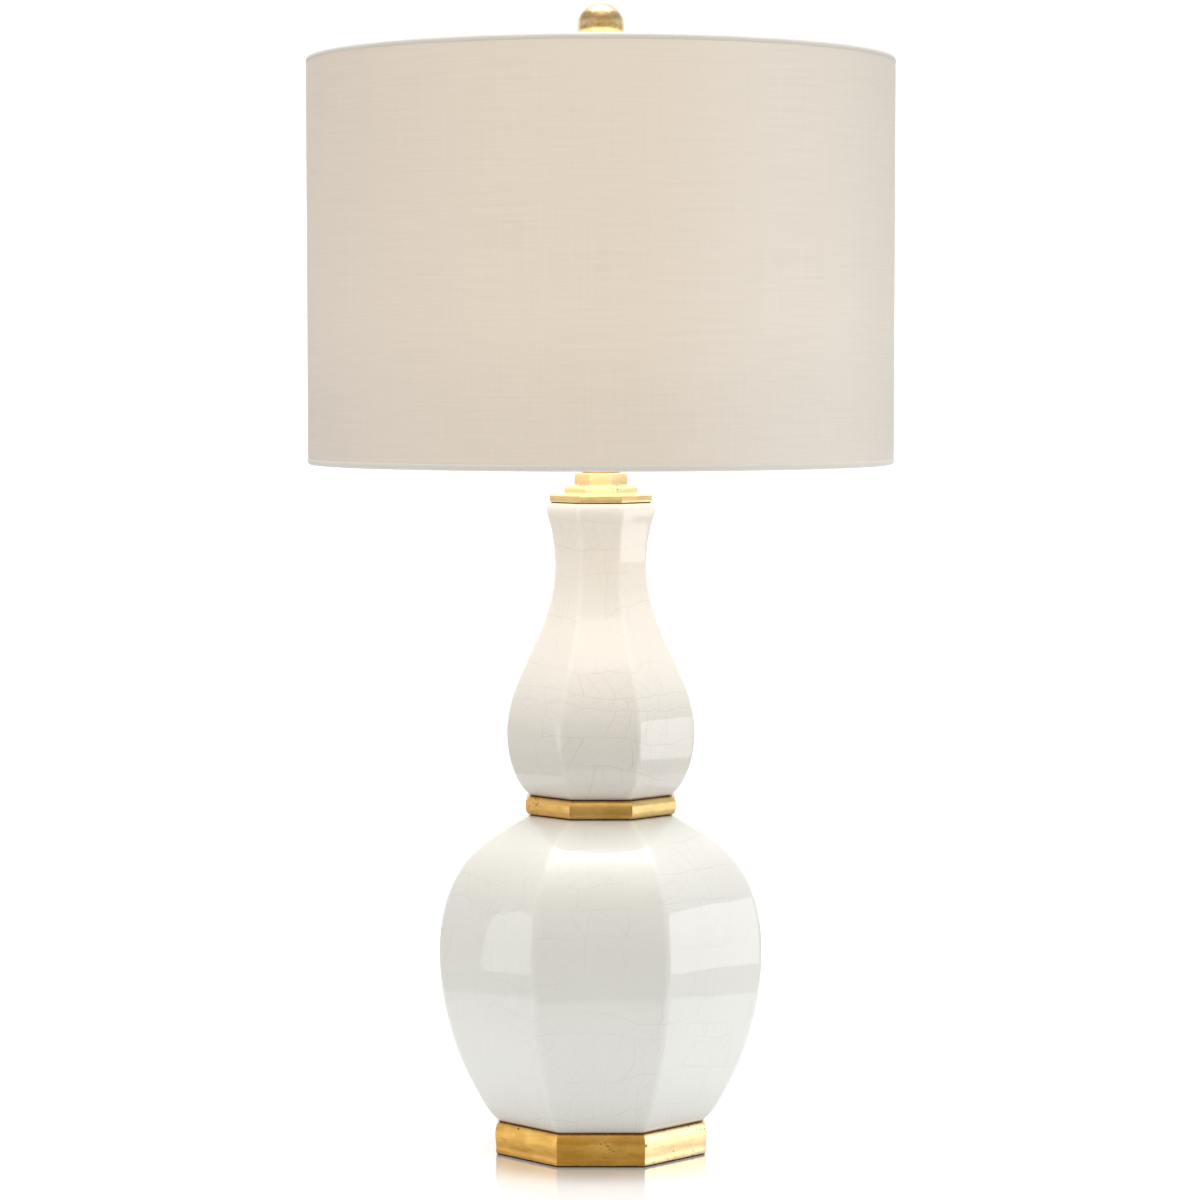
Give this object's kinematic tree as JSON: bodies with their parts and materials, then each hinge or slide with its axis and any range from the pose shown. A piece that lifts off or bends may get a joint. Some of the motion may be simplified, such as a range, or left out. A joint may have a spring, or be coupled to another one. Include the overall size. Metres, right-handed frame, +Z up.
{
  "type": "table lamp",
  "caption": "Table lamp with an eight-sided double-gourd crackle-glazed body, gilded plinth, band and stepped cap, a drum shade on a harp and spider, and a ball finial.",
  "frame": {"origin": "on the table under the centre of the eight-sided plinth, at the underside of the felt", "axes": "+Z up along the lamp's central pipe; -Y towards the viewer of the picture; +Y is the back, where the cord leaves"},
  "size_m": [0.4318, 0.4318, 0.8463],
  "materials": {
    "gilding": "gold leaf over red-brown bole on turned and moulded wood, brushed and lightly worn at the arrises",
    "glaze": "warm white glossy glaze with a fine irregular crackle",
    "linen": "warm off-white linen, plain weave with slubs, laminated to a stiff lining",
    "shade_lining": "smooth matt white lining",
    "brass": "lacquered brass, satin",
    "zinc_steel": "zinc plated",
    "nickel": "nickel plated",
    "phenolic": "moulded, dark",
    "knob": "moulded, dark brown, glossy",
    "bulb_insulator": "black moulded insulator",
    "frosted_glass": "soft white coated glass",
    "fibre_liner": "pressed fibre sleeve",
    "gasket": "thin dark brown gasket",
    "felt": "dense dark felt",
    "bushing": "black moulded bushing"
  },
  "bodies": {
    "base": {"felt_pad": "felt", "plinth": "gilding", "cord_bushing": "bushing", "base_nut": "zinc_steel", "base_washer": "zinc_steel", "lamp_pipe": "zinc_steel", "foot_gasket": "gasket", "lower_jar": "glaze", "waist_gasket_lower": "gasket", "waist_band": "gilding", "waist_gasket_upper": "gasket", "upper_gourd": "glaze", "neck_gasket": "gasket", "stepped_cap": "gilding", "neck_collar": "gilding", "riser_tube": "brass", "harp_saddle": "brass", "saddle_locknut": "brass", "harp_wire": "brass", "harp_stud": "brass", "socket_cap": "brass", "socket_shell": "brass", "socket_insulator": "fibre_liner", "socket_body": "phenolic", "socket_screw_shell": "brass", "socket_contact": "brass", "terminal_screws": "brass"},
    "left_ferrule": {"ferrule_left": "brass"},
    "right_ferrule": {"ferrule_right": "brass"},
    "switch": {"switch_stem": "brass", "switch_knob": "knob"},
    "bulb_contact": {"bulb_insulator": "bulb_insulator", "bulb_tip": "nickel"},
    "bulb": {"bulb_cap": "nickel", "bulb_glass": "frosted_glass"},
    "shade_hub": {"spider_hub": "brass"},
    "shade": {"shade_fabric": "linen", "shade_liner": "shade_lining", "shade_trim_top": "linen", "shade_trim_bottom": "linen", "shade_ring_top": "brass", "shade_ring_bottom": "brass", "spider_arms": "brass"},
    "finial_thread": {"finial_insert": "brass"},
    "finial": {"finial_neck": "gilding", "finial_ball": "gilding"}
  },
  "joints": [
    {"name": "left_ferrule_slide", "type": "slide", "parent": "base", "child": "left_ferrule", "axis": [0, 0, 1], "range_m": [0, 0.012]},
    {"name": "right_ferrule_slide", "type": "slide", "parent": "base", "child": "right_ferrule", "axis": [0, 0, 1], "range_m": [0, 0.012]},
    {"name": "switch_turn", "type": "hinge", "parent": "base", "child": "switch", "pos_m": [0, -0.03, 0.563], "axis": [0, -1, 0], "continuous": true},
    {"name": "bulb_rise", "type": "slide", "parent": "base", "child": "bulb_contact", "axis": [0, 0, 1], "range_m": [0, 0.0146]},
    {"name": "bulb_turn", "type": "hinge", "parent": "bulb_contact", "child": "bulb", "pos_m": [0, 0, 0.59], "axis": [0, 0, 1], "range_deg": [0, 1440]},
    {"name": "shade_lift", "type": "slide", "parent": "base", "child": "shade_hub", "axis": [0, 0, 1], "range_m": [0, 0.3]},
    {"name": "shade_swivel", "type": "hinge", "parent": "shade_hub", "child": "shade", "pos_m": [0, 0, 0.795], "axis": [0, 0, 1], "continuous": true},
    {"name": "finial_rise", "type": "slide", "parent": "shade_hub", "child": "finial_thread", "axis": [0, 0, 1], "range_m": [0, 0.0076]},
    {"name": "finial_turn", "type": "hinge", "parent": "finial_thread", "child": "finial", "pos_m": [0, 0, 0.82], "axis": [0, 0, 1], "range_deg": [0, 2880]}
  ],
  "couplings": [
    {"joint": "bulb_rise", "follows": "bulb_turn", "m_per_rad": 0.00057757},
    {"joint": "finial_rise", "follows": "finial_turn", "m_per_rad": 0.00014972}
  ]
}
